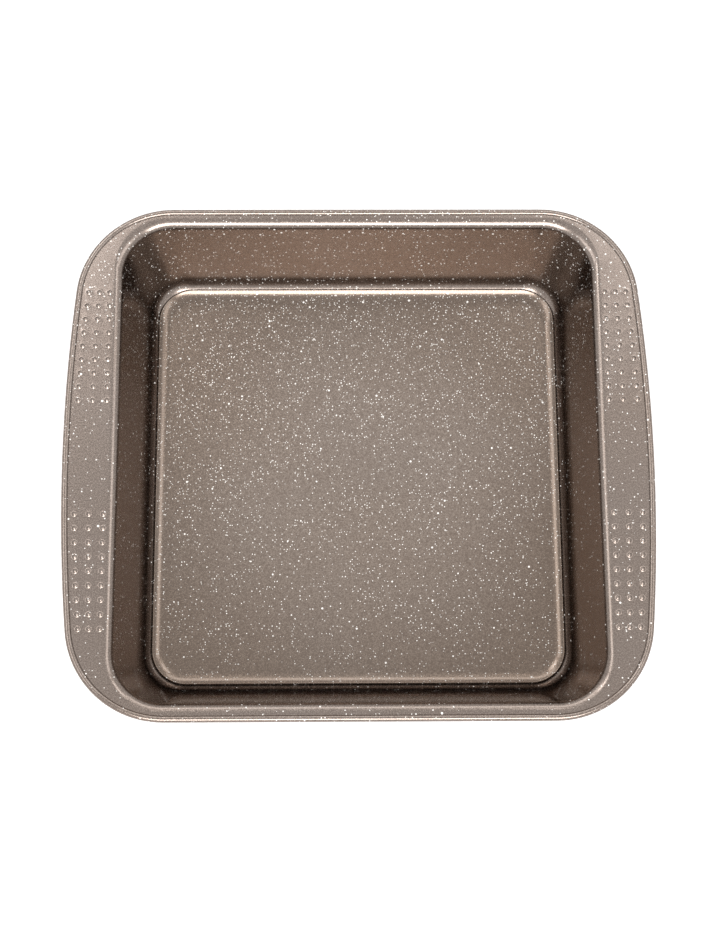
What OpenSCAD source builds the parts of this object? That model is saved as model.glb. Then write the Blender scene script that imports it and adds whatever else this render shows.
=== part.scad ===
// Square baking tin with two handle wings, a wired rim and a lift-out base.
// Millimetres, +Z up. The origin is the middle of the face that the tin rests on.

/* [Overall] */
// Width over the rims of the two handle wings
overall_w = 276; // [262:1:340]
// Depth over the front and back rims
overall_d = 247; // [245:1:320]
// Height from the resting face to the top of the flange
flange_h = 50; // [30:1:90]
// Thickness of the pressed steel sheet
sheet = 0.8; // [0.6:0.1:1.2]

/* [Cup] */
// Width of the opening, where the flange starts to turn down
opening_w = 232.6; // [205:0.1:246]
// Depth of the opening, where the flange starts to turn down
opening_d = 238.6; // [205:0.1:240]
// Width of the flat floor, between the starts of its turned-up edge
floor_w = 187; // [120:1:195]
// Depth of the flat floor, between the starts of its turned-up edge
floor_d = 187.5; // [120:0.5:195]
// Corner radius of the flat floor
floor_corner = 13.5; // [11:0.5:30]
// Corner radius of the opening
opening_corner = 25; // [15:0.5:50]
// Radius of the bend from the wall out to the flange, on its top face
shoulder_r = 4.5; // [2:0.1:8]
// Width of the ledge that the base lies on
ledge_w = 9; // [5:0.5:12]

/* [Base] */
// Radius of the base's turned-up edge, on its top face
floor_fillet = 7.5; // [4:0.1:10]
// How far the edge turns up, in degrees
lip_turn = 42; // [25:1:50]
// Thickness of the base plate
base_sheet = 0.8; // [0.6:0.1:1.2]
// Side play between the turned-up edge and the tin
base_play = 0.5; // [0.4:0.1:1.2]

/* [Rim] */
// Outside radius of the four corners of the rim
corner_r = 46; // [25:1:60]
// Outside radius of the long curve along each handle wing
wing_r = 860; // [500:10:1500]
// How far the middle of the roll lies under the top of the flange
roll_drop = 0.6; // [0.4:0.1:1.2]
// Angle of the slot left between the end of the roll and the underside of the flange
roll_slot = 20; // [5:1:60]
// Diameter of the wire inside the roll
wire_d = 1.3; // [0.8:0.1:2.5]
// Clearance all round the wire inside the roll
wire_play = 0.15; // [0.1:0.05:0.4]
// Gap between the two ends of the wire, at the middle of the back
wire_gap = 1; // [0.5:0.5:5]

/* [Bumps] */
// Rows of bumps in each patch
bump_rows = 9; // [3:1:10]
// Columns of bumps in each patch
bump_columns = 3; // [1:1:4]
// Distance from one row to the next
bump_pitch = 6.7; // [5:0.1:8]
// Distance of the first row from the middle of the wing
bump_start = 27.4; // [10:0.1:40]
// Diameter of a bump where it leaves the flange
bump_d = 3.2; // [2:0.1:4]
// Height of a bump over the flange
bump_h = 0.8; // [0.4:0.1:1.2]
// From the edge of the opening to the middle of the inner column
bump_inset = 1.7; // [1.7:0.1:6]
// From the outside of the rim to the middle of the outer column
bump_edge = 6.2; // [5:0.1:10]

/* [Hidden] */
$fn = 64;

coat = "#988882";
floor_coat = "#80705f";
steel = "#b8bbbe";

// Steps round one corner, along one bend, along one wing, and round the roll
corner_steps = 10;
bend_steps = 6;
wing_steps = 8;
roll_steps = 12;
wire_sides = 8;
// How far one pressed shape runs into the next
lap = 0.5;
// More than any depth here, for cutting shapes
far_off = 2000;

// Levels
floor_z = sheet + base_sheet;
roll_z = flange_h - roll_drop;

// The wall leans out from the edge of the floor to the opening.
// Offsets count from the edge of the flat floor: on the sides as they are,
// front and back stretched to the wider run there.
run_w = (opening_w - floor_w) / 2;
run_d = (opening_d - floor_d) / 2;
stretch_d = run_d / run_w;

// The tin's own lower bend holds the base's turned-up edge with side play
foot_r = floor_fillet + base_sheet;
bend_sum = foot_r + shoulder_r;
wall_run = run_w - base_play;
wall_rise = flange_h - sheet - bend_sum;
// Lean of the wall from upright, which makes it tangent to both bends
lean = acos(bend_sum / norm([wall_run, wall_rise])) - atan2(wall_rise, wall_run);

function lerp(a, b, t) = a + (b - a) * t;

// Points of a bend in the section, [offset, height]
function bend(x, z, r, from, to, steps) =
    [for (i = [0:steps]) let (a = lerp(from, to, i / steps)) [x + r * sin(a), z - r * cos(a)]];

function reversed(v) = [for (i = [len(v) - 1:-1:0]) v[i]];

// The level ring that a section point draws round the cup
function corner_at(p) = lerp(floor_corner, opening_corner, p[0] / run_w);
function cup_ring(p) =
    let (r = corner_at(p))
    let (cx = floor_w / 2 + p[0] - r)
    let (cy = floor_d / 2 + p[0] * stretch_d - r)
    [for (q = [0:3], i = [0:corner_steps])
        let (a = 90 * (q + i / corner_steps))
        let (sx = q == 0 || q == 3 ? 1 : -1)
        let (sy = q < 2 ? 1 : -1)
        [sx * cx + r * cos(a), sy * cy + r * sin(a), p[1]]];

// The triangles that join ring a to ring b, of m points each
function band(a, b, m) =
    [for (i = [0:m - 1], half = [0, 1])
        let (j = (i + 1) % m)
        half == 0
            ? [a * m + i, b * m + i, b * m + j]
            : [a * m + i, b * m + j, a * m + j]];

// A closed section swept round a closed path: one ring for each point of the section,
// which is drawn anticlockwise
module swept_loop(rings) {
    n = len(rings);
    m = len(rings[0]);
    faces = [for (s = [0:n - 1]) each band(s, (s + 1) % n, m)];
    polyhedron([for (r = rings) each r], faces, convexity = 6);
}

// The same, where the first and the last ring each close with a flat
module swept_plate(rings) {
    n = len(rings);
    m = len(rings[0]);
    sides = [for (s = [0:n - 2]) each band(s, s + 1, m)];
    under = [for (i = [0:m - 1]) i];
    over = [for (i = [m - 1:-1:0]) (n - 1) * m + i];
    polyhedron([for (r = rings) each r], concat(sides, [under, over]), convexity = 4);
}

// The roll is the sheet curled once round the wire
roll_d = wire_d + 2 * (wire_play + sheet);
roll_r = roll_d / 2;

// Middle line of the rolled rim: straight front and back, a long arc on each wing,
// and a tangent arc at each corner
line_w = overall_w / 2 - roll_r;
line_d = overall_d / 2 - roll_r;
line_corner = corner_r - roll_r;
line_wing = wing_r - roll_r;
corner_y = line_d - line_corner;
wing_x = line_w - line_wing;
corner_x = wing_x + sqrt(pow(line_wing - line_corner, 2) - pow(corner_y, 2));
// Half the angle that a wing's arc covers
wing_turn = asin(corner_y / (line_wing - line_corner));

// Everything inside the rim's middle line, drawn in by an amount
module rim_outline(inset) {
    side = line_wing - inset;
    band_y = side * sin(wing_turn);
    intersection() {
        translate([wing_x, 0]) circle(side, $fn = 720);
        translate([-wing_x, 0]) circle(side, $fn = 720);
        square([far_off, 2 * band_y], center = true);
    }
    square([2 * corner_x, 2 * (line_d - inset)], center = true);
    for (sx = [-1, 1], sy = [-1, 1])
        translate([sx * corner_x, sy * corner_y]) circle(line_corner - inset);
}

// Points of an arc, without its two ends if it is bare
function arc(cx, cy, r, from, to, steps, bare = 0) =
    [for (i = [bare:steps - bare]) let (a = lerp(from, to, i / steps)) [cx + r * cos(a), cy + r * sin(a)]];

// The level ring that a section point, [offset outwards, height], draws along the rim
function rim_ring(p) =
    let (r = line_corner + p[0])
    let (w = line_wing + p[0])
    let (t = wing_turn)
    [for (q = concat(
        arc(wing_x, 0, w, -t, t, wing_steps, 1),
        arc(corner_x, corner_y, r, t, 90, corner_steps),
        arc(-corner_x, corner_y, r, 90, 180 - t, corner_steps),
        arc(-wing_x, 0, w, 180 - t, 180 + t, wing_steps, 1),
        arc(-corner_x, -corner_y, r, 180 + t, 270, corner_steps),
        arc(corner_x, -corner_y, r, 270, 360 - t, corner_steps)
    )) [q[0], q[1], p[1]]];

// Angle at which the roll meets the underside of the flange, with a little of the roll below it
roll_from = 180 + asin((sheet - roll_drop) / (roll_r - sheet / 2)) + 5;

module roll() {
    section = concat(
        arc(0, roll_z, roll_r, roll_from + roll_slot - 360, roll_from, roll_steps),
        arc(0, roll_z, roll_r - sheet, roll_from, roll_from + roll_slot - 360, roll_steps)
    );
    swept_loop([for (p = section) rim_ring(p)]);
}

// Radius of the ball that a bump is the cap of
bump_ball = (pow(bump_d / 2, 2) + pow(bump_h, 2)) / (2 * bump_h);

// Half-width of the rim's outside at a distance from the middle of the wing
function rim_at(y) =
    abs(y) < line_wing * sin(wing_turn)
        ? wing_x + sqrt(pow(wing_r, 2) - y * y)
        : corner_x + sqrt(pow(corner_r, 2) - pow(abs(y) - corner_y, 2));

// Puts its child at every bump, the columns spread from the opening to the rim
module each_bump() {
    inner = opening_w / 2 + bump_inset;
    for (row = [0:bump_rows - 1], column = [0:bump_columns - 1]) {
        y = bump_start + row * bump_pitch;
        x = lerp(inner, rim_at(y) - bump_edge, column / max(1, bump_columns - 1));
        for (sx = [-1, 1], sy = [-1, 1])
            translate([sx * x, sy * y, flange_h]) children();
    }
}

// One face of the cup's sheet, from the ledge out to the flange, this deep under the inside face
function cup_face(depth) =
    let (turned = 90 - lean)
    concat(
        [[-ledge_w, sheet - depth]],
        bend(base_play, sheet + foot_r, foot_r + depth, 0, turned, bend_steps),
        bend(run_w, flange_h - shoulder_r, depth - shoulder_r, turned, 0, bend_steps),
        [[run_w + lap, flange_h - depth]]
    );

module cup() {
    section = concat(cup_face(sheet), reversed(cup_face(0)));
    swept_loop([for (p = section) cup_ring(p)]);
}

// Flat sheet from the opening to the rim
module flange_sheet() {
    hole_r = opening_corner + lap / 2;
    hole_w = opening_w + lap;
    hole_d = opening_d + lap;
    translate([0, 0, flange_h - sheet]) linear_extrude(sheet) difference() {
        rim_outline(roll_r - sheet / 2);
        for (sx = [-1, 1], sy = [-1, 1])
            translate([sx * (hole_w / 2 - hole_r), sy * (hole_d / 2 - hole_r)]) circle(hole_r);
        square([hole_w, hole_d - 2 * hole_r], center = true);
        square([hole_w - 2 * hole_r, hole_d], center = true);
    }
}

module flange() {
    ball_z = bump_h - bump_ball;
    difference() {
        union() {
            flange_sheet();
            each_bump() intersection() {
                translate([0, 0, ball_z]) sphere(bump_ball, $fn = 32);
                translate([-bump_d, -bump_d, -sheet / 2]) cube([2 * bump_d, 2 * bump_d, bump_h + sheet]);
            }
        }
        each_bump() translate([0, 0, ball_z]) sphere(bump_ball - sheet, $fn = 32);
    }
}

module pan_body() {
    color(coat) {
        flange();
        cup();
        roll();
    }
}

module rim_wire() {
    section = [for (i = [0:wire_sides - 1]) let (a = 360 * i / wire_sides)
        [wire_d / 2 * cos(a), roll_z + wire_d / 2 * sin(a)]];
    color(steel) difference() {
        swept_loop([for (p = section) rim_ring(p)]);
        translate([0, line_d, roll_z]) cube([wire_gap, roll_d, roll_d], center = true);
    }
}

module loose_base() {
    centre_z = floor_z + floor_fillet;
    section = concat(
        bend(0, centre_z, foot_r, 0, lip_turn, bend_steps),
        bend(0, centre_z, floor_fillet, lip_turn, 0, bend_steps)
    );
    color(floor_coat) swept_plate([for (p = section) cup_ring(p)]);
}

pan_body();
rim_wire();
loose_base();
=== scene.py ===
import math

import bpy
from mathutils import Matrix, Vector


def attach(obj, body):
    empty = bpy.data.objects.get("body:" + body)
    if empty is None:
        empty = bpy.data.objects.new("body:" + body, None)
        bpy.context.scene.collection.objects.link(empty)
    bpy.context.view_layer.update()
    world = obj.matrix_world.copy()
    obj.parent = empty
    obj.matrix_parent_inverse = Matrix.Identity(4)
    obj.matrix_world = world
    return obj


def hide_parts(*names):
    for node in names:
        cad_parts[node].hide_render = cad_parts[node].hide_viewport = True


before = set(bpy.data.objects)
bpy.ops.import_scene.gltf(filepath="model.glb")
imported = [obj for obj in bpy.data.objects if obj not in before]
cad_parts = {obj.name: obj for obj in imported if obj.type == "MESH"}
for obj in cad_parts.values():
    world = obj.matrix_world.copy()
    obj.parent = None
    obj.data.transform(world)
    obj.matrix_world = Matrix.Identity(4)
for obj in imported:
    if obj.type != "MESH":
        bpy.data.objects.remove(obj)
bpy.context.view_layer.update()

# all lengths are in metres and all angles in degrees
hair = 0.00001              # parts level loops while they are joined
mergeDistance = 0.00001     # points closer than this become one
levelTolerance = 0.000001   # how far a point may be off the level it is looked for on
loopTolerance = 0.000002    # and off the outline


def objectMode():
    bpy.ops.object.mode_set(mode="OBJECT")


def editMode():
    bpy.ops.object.mode_set(mode="EDIT")


def startPiece(name):
    # an empty mesh in edit mode; the primitive only opens it
    bpy.ops.object.select_all(action="DESELECT")
    bpy.ops.mesh.primitive_plane_add(size=0.01, enter_editmode=True)
    piece = bpy.context.object
    piece.name = name
    piece.data.name = name
    bpy.ops.mesh.delete(type="VERT")
    return piece


def selectVerts(piece, test):
    objectMode()
    bpy.context.tool_settings.mesh_select_mode = (True, False, False)
    for face in piece.data.polygons:
        face.select = False
    for edge in piece.data.edges:
        edge.select = False
    for vert in piece.data.vertices:
        vert.select = test(vert)
    editMode()


def levelOut(piece, height):
    # brings the loops that were kept a hair apart to one level
    selectVerts(piece, lambda vert: vert.co.z < height)
    bpy.ops.transform.resize(value=(1, 1, 0), center_override=(0, 0, height))


def applyModifier(piece, kind, **settings):
    modifier = piece.modifiers.new(kind.title(), kind)
    for key, value in settings.items():
        setattr(modifier, key, value)
    bpy.context.view_layer.objects.active = piece
    bpy.ops.object.modifier_apply(modifier=modifier.name)


def mirrorAcross(piece):
    applyModifier(piece, "MIRROR", use_axis=(True, False, False), use_clip=True,
                  merge_threshold=mergeDistance)


def joinInto(piece, others):
    bpy.ops.object.select_all(action="DESELECT")
    for other in others:
        other.select_set(True)
    piece.select_set(True)
    bpy.context.view_layer.objects.active = piece
    bpy.ops.object.join()


def cleanUp(piece, flip=False):
    objectMode()
    editMode()
    bpy.ops.mesh.select_all(action="SELECT")
    bpy.ops.mesh.remove_doubles(threshold=mergeDistance)
    bpy.ops.mesh.normals_make_consistent(inside=False)
    if flip:
        bpy.ops.mesh.flip_normals()
    objectMode()


def faceUp(piece):
    # an open sheet has no inside: its faces are turned so that they look up
    cleanUp(piece)
    if sum(face.normal.z * face.area for face in piece.data.polygons) < 0:
        cleanUp(piece, flip=True)


def smooth(piece, degrees):
    bpy.ops.object.select_all(action="DESELECT")
    piece.select_set(True)
    bpy.context.view_layer.objects.active = piece
    bpy.ops.object.shade_smooth_by_angle(angle=math.radians(degrees))


def finishPiece(piece, body, node, material):
    piece.data.materials.clear()
    piece.data.materials.append(material)
    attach(piece, body)
    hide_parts(node)


def nodeMaker(owner):
    # an input takes a value or another node's output, and goes by its name, or by its number
    # where a node has several of one name
    tree = owner.node_tree

    def make(kind, inputs=None, **settings):
        node = tree.nodes.new(kind)
        for key, value in settings.items():
            setattr(node, key, value)
        for key, value in (inputs or {}).items():
            if isinstance(value, bpy.types.NodeSocket):
                tree.links.new(value, node.inputs[key])
            else:
                node.inputs[key].default_value = value
        return node

    return make


def newMaterial(name):
    material = bpy.data.materials.new(name)
    material.use_nodes = True
    material.node_tree.nodes.clear()
    return material


coatingLook = {
    "dark": (0.176, 0.142, 0.124),
    "light": (0.296, 0.252, 0.226),
    "warm": (0.92, 0.86, 0.80),         # laid over it in clouds
    "outer": (1.0, 1.0, 1.0),           # painted shade laid over it away from the middle; white here, so none
    "paintedShadeFrom": 0.03,
    "paintedShadeTo": 0.125,
    "fleck": (0.84, 0.81, 0.77),
    "metal": 1.0,
    "edgeTint": (0.30, 0.26, 0.24),     # keeps the pigment dark where it is seen at a slant
    "noiseLow": 0.3,                    # nearly all of a noise lies between these two
    "noiseHigh": 0.7,
    "roughLow": 0.20,
    "roughHigh": 0.30,
    "bump": 0.2,
    "bumpDepth": 0.00006,
    "coat": 0.5,
    "coatRough": 0.06,
    "coatIndex": 1.5,
    "grainScale": 1500.0,
    "grainDark": 0.36,                  # the grain's value where the tone is all dark
    "grainLight": 0.66,
    "cloudScale": 14.0,
    "driftScale": 38.0,
    "driftThin": 1.5,                   # a higher number keeps fewer flecks
    "driftThick": 0.6,
    "sprayReach": 0.1,                  # flecks grow denser over this far, from front to back
    "sprayThin": 1.8,
    "sprayThick": 0.62,
    "smallest": 0.45,                   # smallest fleck over the largest
    "softFrom": 0.72,                   # where a fleck starts to fade, over its radius
    "coarseCells": 300.0,
    "coarseRadius": 0.00064,
    "coarseShare": 0.18,
    "fineCells": 640.0,
    "fineRadius": 0.00040,
    "fineShare": 0.45,
}

# the base is paler in the middle, its dark and light set lighter than the body's as painted light, and
# browner outwards by painted shade from the walls; it is also more thickly flecked
baseLook = coatingLook | {
    "dark": (0.196, 0.155, 0.130),
    "light": (0.326, 0.276, 0.242),
    # painted shade: darker and browner towards the walls, which shade the floor's edge
    "outer": (0.66, 0.62, 0.58),
    "coarseShare": 0.28,
    "fineCells": 820.0,
    "fineRadius": 0.00034,
    "fineShare": 0.85,
}


def fleckLayer(make, place, patches, look, kind):
    # round pale dots, one in some of the cells, each its own size
    scale = look[kind + "Cells"]
    largest = look[kind + "Radius"] * scale
    cells = make("ShaderNodeTexVoronoi", {"Vector": place, "Scale": scale, "Randomness": 1.0})
    luck = make("ShaderNodeSeparateColor", {0: cells.outputs["Color"]})
    size = make("ShaderNodeMapRange", {0: luck.outputs[0], 3: look["smallest"] * largest, 4: largest})
    chosen = make("ShaderNodeMath", {0: luck.outputs[1], 1: patches}, operation="MULTIPLY")
    kept = make("ShaderNodeMath", {0: chosen.outputs[0], 1: look[kind + "Share"]}, operation="LESS_THAN")
    inner = make("ShaderNodeMath", {0: size.outputs[0], 1: look["softFrom"]}, operation="MULTIPLY")
    dot = make("ShaderNodeMapRange", {0: cells.outputs["Distance"], 1: inner.outputs[0],
                                      2: size.outputs[0], 3: 1.0, 4: 0.0})
    return make("ShaderNodeMath", {0: dot.outputs[0], 1: kept.outputs[0]}, operation="MULTIPLY").outputs[0]


def fleckPatches(make, place, look):
    # where the flecks crowd and where they thin out
    drift = make("ShaderNodeTexNoise", {"Vector": place, "Scale": look["driftScale"], "Detail": 2.0})
    drifted = make("ShaderNodeMapRange", {0: drift.outputs[0], 1: look["noiseLow"],
                                          2: look["noiseHigh"], 3: look["driftThin"],
                                          4: look["driftThick"]})
    along = make("ShaderNodeSeparateXYZ", {0: place})
    sprayed = make("ShaderNodeMapRange", {0: along.outputs[1], 1: -look["sprayReach"],
                                          2: look["sprayReach"], 3: look["sprayThin"],
                                          4: look["sprayThick"]})
    return make("ShaderNodeMath", {0: drifted.outputs[0], 1: sprayed.outputs[0]},
                operation="MULTIPLY").outputs[0]


def speckledCoating(name, look):
    material = newMaterial(name)
    make = nodeMaker(material)
    place = make("ShaderNodeTexCoord").outputs["Object"]
    patches = fleckPatches(make, place, look)
    coarse = fleckLayer(make, place, patches, look, "coarse")
    fine = fleckLayer(make, place, patches, look, "fine")
    both = make("ShaderNodeMath", {0: coarse, 1: fine}, operation="MAXIMUM").outputs[0]

    # metallic grain under the clear coat
    grain = make("ShaderNodeTexNoise", {"Vector": place, "Scale": look["grainScale"], "Detail": 3.0,
                                        "Roughness": 0.7})
    cloud = make("ShaderNodeTexNoise", {"Vector": place, "Scale": look["cloudScale"], "Detail": 3.0})
    tone = make("ShaderNodeValToRGB", {0: grain.outputs[0]})
    tone.color_ramp.elements[0].position = look["grainDark"]
    tone.color_ramp.elements[0].color = (*look["dark"], 1)
    tone.color_ramp.elements[1].position = look["grainLight"]
    tone.color_ramp.elements[1].color = (*look["light"], 1)
    warm = make("ShaderNodeMix", {0: cloud.outputs[0], 6: tone.outputs[0], 7: (*look["warm"], 1)},
                data_type="RGBA", blend_type="MULTIPLY")

    # painted shade: the colour darkens a little from the middle of the tin outwards, where the walls shade
    # the floor
    reach = make("ShaderNodeVectorMath", {0: place}, operation="LENGTH")
    paintedShadeMask = make("ShaderNodeMapRange", {0: reach.outputs["Value"], 1: look["paintedShadeFrom"],
                                          2: look["paintedShadeTo"]}, interpolation_type="SMOOTHSTEP")
    shaded = make("ShaderNodeMix", {0: paintedShadeMask.outputs[0], 6: warm.outputs[2], 7: (*look["outer"], 1)},
                  data_type="RGBA", blend_type="MULTIPLY")
    colour = make("ShaderNodeMix", {0: both, 6: shaded.outputs[2], 7: (*look["fleck"], 1)},
                  data_type="RGBA")

    metal = make("ShaderNodeMapRange", {0: both, 3: look["metal"], 4: 0.0})
    rough = make("ShaderNodeMapRange", {0: grain.outputs[0], 1: look["noiseLow"],
                                        2: look["noiseHigh"], 3: look["roughLow"],
                                        4: look["roughHigh"]})
    relief = make("ShaderNodeMath", {0: grain.outputs[0], 1: both}, operation="ADD")
    bump = make("ShaderNodeBump", {"Strength": look["bump"], "Distance": look["bumpDepth"],
                                   "Height": relief.outputs[0]})
    shader = make("ShaderNodeBsdfPrincipled", {
        "Base Color": colour.outputs[2], "Metallic": metal.outputs[0], "Roughness": rough.outputs[0],
        "Normal": bump.outputs[0], "Specular Tint": (*look["edgeTint"], 1),
        "Coat Weight": look["coat"], "Coat Roughness": look["coatRough"], "Coat IOR": look["coatIndex"]})
    make("ShaderNodeOutputMaterial", {0: shader.outputs[0]})
    return material


steelLook = {
    "dark": (0.42, 0.42, 0.43),
    "light": (0.66, 0.66, 0.67),
    "roughLow": 0.22,
    "roughHigh": 0.38,
    "scratchScale": 900.0,
    "bump": 0.1,
    "bumpDepth": 0.00005,
}


def drawnSteel(name, look):
    material = newMaterial(name)
    make = nodeMaker(material)
    place = make("ShaderNodeTexCoord").outputs["Object"]
    scratches = make("ShaderNodeTexNoise", {"Vector": place, "Scale": look["scratchScale"], "Detail": 4.0})
    tone = make("ShaderNodeValToRGB", {0: scratches.outputs[0]})
    tone.color_ramp.elements[0].color = (*look["dark"], 1)
    tone.color_ramp.elements[1].color = (*look["light"], 1)
    rough = make("ShaderNodeMapRange", {0: scratches.outputs[0], 3: look["roughLow"], 4: look["roughHigh"]})
    bump = make("ShaderNodeBump", {"Strength": look["bump"], "Distance": look["bumpDepth"],
                                   "Height": scratches.outputs[0]})
    shader = make("ShaderNodeBsdfPrincipled", {"Base Color": tone.outputs[0], "Metallic": 1.0,
                                               "Roughness": rough.outputs[0], "Normal": bump.outputs[0]})
    make("ShaderNodeOutputMaterial", {0: shader.outputs[0]})
    return material


tin = {
    "sheet": 0.0008,            # thickness of the steel
    "flangeHeight": 0.050,      # top face of the flange
    "floorSide": 0.187,         # flat of the floor, left to right
    "floorDepth": 0.1875,       # flat of the floor, front to back
    "floorCorner": 0.0135,
    "openingSide": 0.2326,      # where the flange starts to turn down
    "openingDepth": 0.2386,
    "openingCorner": 0.025,
    "ledge": 0.009,             # what the base lies on
    "footRadius": 0.0083,       # wall to ledge, inside
    "footOffset": 0.0005,
    "shoulderRadius": 0.0045,   # wall to flange, top face
    "cornerSteps": 14,
    "bendSteps": 14,
    "wallSteps": (0.03, 0.35, 0.65, 0.97),
    "easeWidth": 0.0005,        # narrow flat beside each bend, which keeps its shading to itself
    "smoothUnder": 40,
    "normalWeight": 60,
}

runSide = (tin["openingSide"] - tin["floorSide"]) / 2
runDepth = (tin["openingDepth"] - tin["floorDepth"]) / 2


def cupSize(offset):
    # the rounded square that lies this far outside the floor's edge
    share = offset / runSide
    radius = tin["floorCorner"] + (tin["openingCorner"] - tin["floorCorner"]) * share
    return tin["floorSide"] + 2 * offset, tin["floorDepth"] + 2 * offset * runDepth / runSide, radius


def roundedLoop(width, depth, radius, height, steps):
    bpy.ops.mesh.primitive_plane_add(size=1, location=(0, 0, height))
    bpy.ops.transform.resize(value=(width, depth, 1), center_override=(0, 0, height))
    bpy.ops.mesh.bevel(offset=radius, segments=steps, affect="VERTICES")
    bpy.ops.mesh.delete(type="ONLY_FACE")


def onLoop(point, offset, height):
    width, depth, radius = cupSize(offset)
    x = max(abs(point.x) - width / 2 + radius, 0)
    y = max(abs(point.y) - depth / 2 + radius, 0)
    onLevel = abs(point.z - height) < levelTolerance
    return onLevel and abs(math.hypot(x, y) - radius) < loopTolerance


def bridgeSection(piece, section):
    # one rounded square to the next, never two at one level: those would be joined crosswise
    for offset, height in section:
        width, depth, radius = cupSize(offset)
        roundedLoop(width, depth, radius, height, tin["cornerSteps"])
    for pair in zip(section, section[1:]):
        selectVerts(piece, lambda vert: any(onLoop(vert.co, *level) for level in pair))
        bpy.ops.mesh.bridge_edge_loops()


def cupSection():
    # ledge, foot bend, wall and shoulder, as offset and height of the inside face
    foot, shoulder = tin["footRadius"], tin["shoulderRadius"]
    wallRun = runSide - tin["footOffset"]
    wallRise = tin["flangeHeight"] - tin["sheet"] - foot - shoulder
    lean = math.acos((foot + shoulder) / math.hypot(wallRun, wallRise)) - math.atan2(wallRise, wallRun)
    turned = math.pi / 2 - lean
    steps, ease = tin["bendSteps"], tin["easeWidth"]
    points = [(-tin["ledge"], tin["sheet"] - 2 * hair), (tin["footOffset"] - ease, tin["sheet"] - hair)]
    for step in range(steps + 1):
        a = turned * step / steps
        points.append((tin["footOffset"] + foot * math.sin(a), tin["sheet"] + foot * (1 - math.cos(a))))
    low = points[-1]
    high = (runSide - shoulder * math.sin(turned), tin["flangeHeight"] - shoulder * (1 - math.cos(turned)))
    for share in tin["wallSteps"]:
        points.append((low[0] + (high[0] - low[0]) * share, low[1] + (high[1] - low[1]) * share))
    for step in range(steps + 1):
        a = turned * (1 - step / steps)
        points.append((runSide - shoulder * math.sin(a), tin["flangeHeight"] - shoulder * (1 - math.cos(a))))
    return points


def makeCup():
    cup = startPiece("panShell")
    bridgeSection(cup, cupSection())
    levelOut(cup, tin["sheet"])
    objectMode()
    return cup


rim = {
    "halfWidth": 0.138,         # outline, middle of the tin to the outside of a wing
    "halfDepth": 0.1235,
    "rollRadius": 0.00158,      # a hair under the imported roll, so that it stays in its box
    "rollDrop": 0.0006,         # middle of the roll under the flange's top face
    "lineInset": 0.0016,        # middle of the roll inside the outline
    "outerCorner": 0.046,
    "outerWing": 0.860,
    "profileSides": 32,
    "cornerSteps": 24,
    "wingSteps": 18,
    "slotFrom": 197,            # the roll ends here, under the flange, round its middle
    "slotTo": 158,              # and leaves the flange here
    "slotTrim": 3,
}

# the line that the middle of the roll follows
rollHeight = tin["flangeHeight"] - rim["rollDrop"]
lineSide = rim["halfWidth"] - rim["lineInset"]
lineDepth = rim["halfDepth"] - rim["lineInset"]
lineCorner = rim["outerCorner"] - rim["lineInset"]
lineWing = rim["outerWing"] - rim["lineInset"]
cornerY = lineDepth - lineCorner
wingX = lineSide - lineWing
cornerX = wingX + math.sqrt((lineWing - lineCorner) ** 2 - cornerY ** 2)
wingTurn = math.asin(cornerY / (lineWing - lineCorner))


def spinBy(angle, centre, steps):
    bpy.ops.mesh.spin(steps=steps, angle=-angle, center=centre, axis=(0, 0, 1))


def sweepRound(startX, endX):
    # carries the selected profile from the middle of the front round one half to the back
    bpy.ops.mesh.extrude_edges_move(TRANSFORM_OT_translate={"value": (cornerX - startX, 0, 0)})
    quarter = math.pi / 2 - wingTurn
    spinBy(quarter, (cornerX, -cornerY, 0), rim["cornerSteps"])
    spinBy(2 * wingTurn, (wingX, 0, 0), rim["wingSteps"])
    spinBy(quarter, (cornerX, cornerY, 0), rim["cornerSteps"])
    bpy.ops.mesh.extrude_edges_move(TRANSFORM_OT_translate={"value": (endX - cornerX, 0, 0)})


def profileCircle(name, radius, sides):
    # stands on the roll's line in the middle of the front
    bpy.ops.object.select_all(action="DESELECT")
    bpy.ops.mesh.primitive_circle_add(vertices=sides, radius=radius, rotation=(0, math.pi / 2, 0),
                                      location=(0, -lineDepth, rollHeight))
    piece = bpy.context.object
    piece.name = name
    bpy.ops.object.transform_apply(location=True, rotation=True, scale=True)
    return piece


def makeRoll():
    roll = profileCircle("roll", rim["rollRadius"], rim["profileSides"])

    def inSlot(vert):
        angle = math.degrees(math.atan2(vert.co.z - rollHeight, -(vert.co.y + lineDepth))) % 360
        return rim["slotTo"] + rim["slotTrim"] < angle < rim["slotFrom"]

    selectVerts(roll, inSlot)
    bpy.ops.mesh.delete(type="VERT")
    # the end beside the flange is drawn in a little, flat on the flange's level
    objectMode()
    top = max((v for v in roll.data.vertices if v.co.z > rollHeight), key=lambda v: v.co.y)
    spread = math.sqrt(rim["rollRadius"] ** 2 - rim["rollDrop"] ** 2)
    selectVerts(roll, lambda vert: vert.index == top.index)
    bpy.ops.transform.translate(value=(0, -lineDepth + spread - top.co.y, tin["flangeHeight"] - top.co.z))
    bpy.ops.mesh.extrude_vertices_move(TRANSFORM_OT_translate={"value": (0, tin["easeWidth"], 0)})
    bpy.ops.mesh.select_all(action="SELECT")
    sweepRound(0, 0)
    objectMode()
    mirrorAcross(roll)
    return roll


bumps = {
    "rows": 9,
    "columns": 3,
    "pitch": 0.0067,
    "start": 0.0274,            # first row from the middle of the wing
    "radius": 0.00164,
    "height": 0.0008,
    "inset": 0.0017,            # inner column from the opening
    "edge": 0.0062,             # outer column from the outside of the rim
    "sides": 12,
    "steps": 5,
}


def rimHalfWidth(y):
    if abs(y) < lineWing * math.sin(wingTurn):
        return wingX + math.sqrt(rim["outerWing"] ** 2 - y ** 2)
    return cornerX + math.sqrt(rim["outerCorner"] ** 2 - (abs(y) - cornerY) ** 2)


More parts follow.
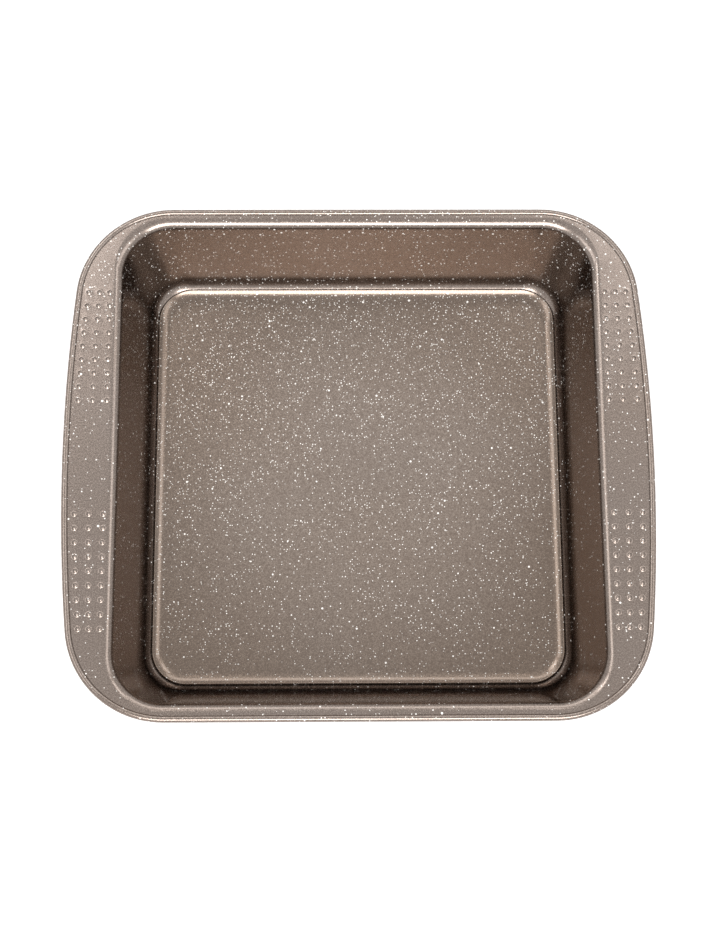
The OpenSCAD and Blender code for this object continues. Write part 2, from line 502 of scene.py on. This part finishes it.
def bumpPlaces():
    inner = tin["openingSide"] / 2 + bumps["inset"]
    for row in range(bumps["rows"]):
        y = bumps["start"] + row * bumps["pitch"]
        outer = rimHalfWidth(y) - bumps["edge"]
        for column in range(bumps["columns"]):
            x = inner + (outer - inner) * column / (bumps["columns"] - 1)
            for sideX in (-1, 1):
                for sideY in (-1, 1):
                    yield sideX * x, sideY * y


def oneBump():
    # a soft dome, worked inwards and upwards from its foot
    bpy.ops.object.select_all(action="DESELECT")
    bpy.ops.mesh.primitive_circle_add(vertices=bumps["sides"], radius=bumps["radius"],
                                      location=(0, 0, tin["flangeHeight"]), enter_editmode=True)
    dome = bpy.context.object
    reach, level = 1.0, 0.0
    for step in range(1, bumps["steps"] + 1):
        share = 1 - step / bumps["steps"]
        height = bumps["height"] * math.cos(math.pi / 2 * share) ** 2
        bpy.ops.mesh.extrude_edges_move(TRANSFORM_OT_translate={"value": (0, 0, height - level)})
        if share > 0:
            bpy.ops.transform.resize(value=(share / reach, share / reach, 1),
                                     center_override=(0, 0, tin["flangeHeight"] + height))
        reach, level = share, height
    bpy.ops.mesh.merge(type="CENTER")
    objectMode()
    return dome


def copyBumps(dome):
    copies = []
    for x, y in bumpPlaces():
        copy = dome.copy()
        copy.data = dome.data.copy()
        copy.location.x = x
        copy.location.y = y
        bpy.context.scene.collection.objects.link(copy)
        copies.append(copy)
    bpy.data.objects.remove(dome)
    return copies


def selectFlangeEdges(shell):
    # the open edges on the flange's level: the opening, the roll and the feet of the bumps
    bpy.ops.mesh.select_all(action="DESELECT")
    bpy.ops.mesh.select_non_manifold(extend=False, use_wire=False, use_boundary=True,
                                     use_multi_face=False, use_non_contiguous=False, use_verts=False)
    objectMode()
    for edge in shell.data.edges:
        ends = [shell.data.vertices[i].co for i in edge.vertices]
        level = all(abs(co.z - tin["flangeHeight"]) < levelTolerance for co in ends)
        edge.select = edge.select and level
    for vert in shell.data.vertices:
        vert.select = False
    bpy.context.tool_settings.mesh_select_mode = (False, True, False)
    editMode()


def makePanShell():
    shell = makeCup()
    roll = makeRoll()
    domes = copyBumps(oneBump())
    joinInto(shell, [roll] + domes)
    editMode()
    bpy.ops.mesh.select_all(action="SELECT")
    bpy.ops.mesh.remove_doubles(threshold=mergeDistance)
    selectFlangeEdges(shell)
    bpy.ops.mesh.fill(use_beauty=True)
    faceUp(shell)
    applyModifier(shell, "SOLIDIFY", thickness=tin["sheet"], offset=-1, use_rim=True)
    smooth(shell, tin["smoothUnder"])
    applyModifier(shell, "WEIGHTED_NORMAL", mode="FACE_AREA", weight=tin["normalWeight"], keep_sharp=True)
    return shell


plate = {
    "thickness": 0.0008,
    "lipRadius": 0.0075,        # turned-up edge, top face
    "lipTurn": 42,
    "lipSteps": 14,
    "insets": (0.020, 0.004, 0.0005),   # level loops inside the edge
    "edgeBevel": 0.00015,
    "edgeBevelSteps": 2,
    "edgeBevelOver": 50,        # only edges sharper than this
    "smoothUnder": 34,
}


def plateSection():
    # flat and turned-up edge, as offset and height of the top face
    top = tin["sheet"] + plate["thickness"]
    centre = top + plate["lipRadius"]
    insets = plate["insets"]
    points = [(-inset, top - hair * (len(insets) - place)) for place, inset in enumerate(insets)]
    for step in range(plate["lipSteps"] + 1):
        a = math.radians(plate["lipTurn"]) * step / plate["lipSteps"]
        points.append((plate["lipRadius"] * math.sin(a), centre - plate["lipRadius"] * math.cos(a)))
    return points


def makeBasePlate():
    base = startPiece("basePlate")
    section = plateSection()
    bridgeSection(base, section)
    selectVerts(base, lambda vert: onLoop(vert.co, *section[0]))
    bpy.ops.mesh.edge_face_add()
    levelOut(base, tin["sheet"] + plate["thickness"])
    faceUp(base)
    applyModifier(base, "SOLIDIFY", thickness=plate["thickness"], offset=-1)
    applyModifier(base, "BEVEL", width=plate["edgeBevel"], segments=plate["edgeBevelSteps"],
                  limit_method="ANGLE", angle_limit=math.radians(plate["edgeBevelOver"]))
    smooth(base, plate["smoothUnder"])
    return base


wire = {
    "radius": 0.00065,
    "gap": 0.0010,              # between its two ends, in the middle of the back
    "sides": 12,
    "smoothUnder": 40,
}


def makeRimWire():
    strand = profileCircle("rimWireRound", wire["radius"], wire["sides"])
    editMode()
    bpy.ops.mesh.select_all(action="SELECT")
    sweepRound(0, wire["gap"] / 2)
    bpy.ops.mesh.edge_face_add()
    objectMode()
    mirrorAcross(strand)
    cleanUp(strand)
    smooth(strand, wire["smoothUnder"])
    return strand


shot = {
    "target": (0.00074, 0.00911, 0.0016),
    "elevation": 75.0,
    "yaw": 3.07,                # round the tin's upright axis
    "roll": 2.80,               # round the line of sight
    "distance": 0.899,
    "lens": 70.77,
    "sensor": 36,
    "near": 0.01,
    "far": 20,
}


def makeCamera():
    rise, yaw, roll = (math.radians(shot[key]) for key in ("elevation", "yaw", "roll"))
    forward = Vector((0, math.cos(rise), -math.sin(rise)))
    up = Vector((0, math.sin(rise), math.cos(rise)))
    right = Vector((1, 0, 0))
    place = Vector(shot["target"]) - forward * shot["distance"]
    sideways = right * math.cos(roll) + up * math.sin(roll)
    upwards = -right * math.sin(roll) + up * math.cos(roll)

    def turned(v):
        return Vector((v.x * math.cos(yaw) + v.y * math.sin(yaw),
                       -v.x * math.sin(yaw) + v.y * math.cos(yaw), v.z))

    data = bpy.data.cameras.new("camera")
    data.lens = shot["lens"]
    data.sensor_width = shot["sensor"]
    data.clip_start = shot["near"]
    data.clip_end = shot["far"]
    camera = bpy.data.objects.new("camera", data)
    bpy.context.scene.collection.objects.link(camera)
    matrix = camera.matrix_world.copy()
    for column, direction in enumerate((turned(sideways), turned(upwards), turned(-forward))):
        for row in range(3):
            matrix[row][column] = direction[row]
    matrix.translation = turned(place)
    camera.matrix_world = matrix
    bpy.context.scene.camera = camera


# each lamp: its direction as degrees from straight up and round from the right, its height and
# width in degrees as the tin sees it, and its radiance
lights = {
    "front": {"tilt": 39, "round": -88, "tall": 22, "wide": 40, "radiance": 9.0},
    "back": {"tilt": 50, "round": 96, "tall": 16, "wide": 50, "radiance": 2.0},
    "left": {"tilt": 36, "round": 176, "tall": 20, "wide": 36, "radiance": 2.4},
    "right": {"tilt": 36, "round": 4, "tall": 20, "wide": 36, "radiance": 2.0},
    "backLeft": {"tilt": 34, "round": 124, "tall": 12, "wide": 12, "radiance": 6.0},
    "backRight": {"tilt": 34, "round": 58, "tall": 12, "wide": 12, "radiance": 4.0},
}
lampDistance = 1.5


def makeLights():
    for name, light in lights.items():
        data = bpy.data.lights.new(name, "AREA")
        data.shape = "RECTANGLE"
        data.size = 2 * lampDistance * math.tan(math.radians(light["wide"]) / 2)
        data.size_y = 2 * lampDistance * math.tan(math.radians(light["tall"]) / 2)
        # an area lamp's brightness is its power over pi times its face
        data.energy = light["radiance"] * math.pi * data.size * data.size_y
        lamp = bpy.data.objects.new(name, data)
        bpy.context.scene.collection.objects.link(lamp)
        tilt, turn = math.radians(light["tilt"]), math.radians(light["round"])
        towards = Vector((math.sin(tilt) * math.cos(turn), math.sin(tilt) * math.sin(turn), math.cos(tilt)))
        lamp.location = towards * lampDistance
        lamp.rotation_euler = towards.to_track_quat("Z", "Y").to_euler()


room = {
    "white": (1, 1, 1, 1),
    "skySeen": 1.0,             # how bright the sky is to the camera and in the metal
    "skyLight": 0.7,            # and as a light
    "floorSide": 6.0,
    "floorGap": 0.0001,         # keeps the floor just clear of the tin
    "floorColour": (0.86, 0.86, 0.86, 1),
    "floorGlow": 0.28,          # brings the lit floor up to white
}


def seenRays(make):
    # 1 for the rays that show the background: straight to the camera, off metal or through glass
    rays = make("ShaderNodeLightPath")
    metal = make("ShaderNodeMath", {0: rays.outputs["Is Camera Ray"], 1: rays.outputs["Is Glossy Ray"]},
                 operation="ADD")
    glass = make("ShaderNodeMath", {0: metal.outputs[0], 1: rays.outputs["Is Transmission Ray"]},
                 operation="ADD", use_clamp=True)
    return glass.outputs[0]


def makeWorld():
    world = bpy.data.worlds.new("studio")
    bpy.context.scene.world = world
    world.use_nodes = True
    world.node_tree.nodes.clear()
    make = nodeMaker(world)
    strength = make("ShaderNodeMapRange", {0: seenRays(make), 3: room["skyLight"], 4: room["skySeen"]})
    back = make("ShaderNodeBackground", {0: room["white"], 1: strength.outputs[0]})
    make("ShaderNodeOutputWorld", {0: back.outputs[0]})


def makeFloor():
    bpy.ops.object.select_all(action="DESELECT")
    bpy.ops.mesh.primitive_plane_add(size=room["floorSide"], location=(0, 0, -room["floorGap"]))
    floor = bpy.context.object
    floor.name = "floor"
    material = newMaterial("paleFloor")
    make = nodeMaker(material)
    matt = make("ShaderNodeBsdfDiffuse", {0: room["floorColour"]})
    glow = make("ShaderNodeEmission", {0: room["white"], 1: room["floorGlow"]})
    lit = make("ShaderNodeAddShader", {0: matt.outputs[0], 1: glow.outputs[0]})
    both = make("ShaderNodeMixShader", {0: seenRays(make), 1: matt.outputs[0], 2: lit.outputs[0]})
    make("ShaderNodeOutputMaterial", {0: both.outputs[0]})
    floor.data.materials.append(material)


bpy.context.scene.view_settings.view_transform = "Standard"
makeCamera()
makeLights()
makeWorld()
makeFloor()
print("stage set")

coating = speckledCoating("speckledCoating", coatingLook)
baseCoating = speckledCoating("speckledBaseCoating", baseLook)
steel = drawnSteel("drawnSteel", steelLook)
print("materials made")

finishPiece(makePanShell(), "tin", "pan_body", coating)
print("tin body made")
finishPiece(makeBasePlate(), "base", "loose_base", baseCoating)
print("base made")
finishPiece(makeRimWire(), "tin", "rim_wire", steel)
print("wire made")
